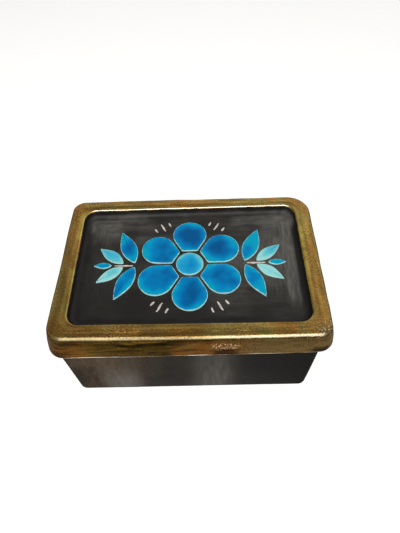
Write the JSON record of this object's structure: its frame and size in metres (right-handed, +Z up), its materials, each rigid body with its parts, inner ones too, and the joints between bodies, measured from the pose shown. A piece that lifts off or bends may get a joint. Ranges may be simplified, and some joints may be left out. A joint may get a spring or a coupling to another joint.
{
  "type": "ceramic box",
  "caption": "Rectangular lidded ceramic box: a dark straight-sided body under a cap lid whose broad gold rim frames a sunken tray with a raised blue flower and leaf sprigs.",
  "frame": {"origin": "under the middle of the lid, on the surface that the box stands on", "axes": "+X along the box's length to the right as the picture on the lid is read, +Y from its front to its back, +Z up"},
  "size_m": [0.1897, 0.1283, 0.0895],
  "materials": {
    "black_glaze": "black glaze, satin and cloudy",
    "gold_lustre": "gold lustre fired over glaze, semi-gloss",
    "blue_glaze": "pooled turquoise to deep blue glaze, gloss",
    "bare_clay": "unglazed fired clay, matt"
  },
  "bodies": {
    "root": {"box_body": "black_glaze", "lid": "gold_lustre"}
  },
  "joints": []
}
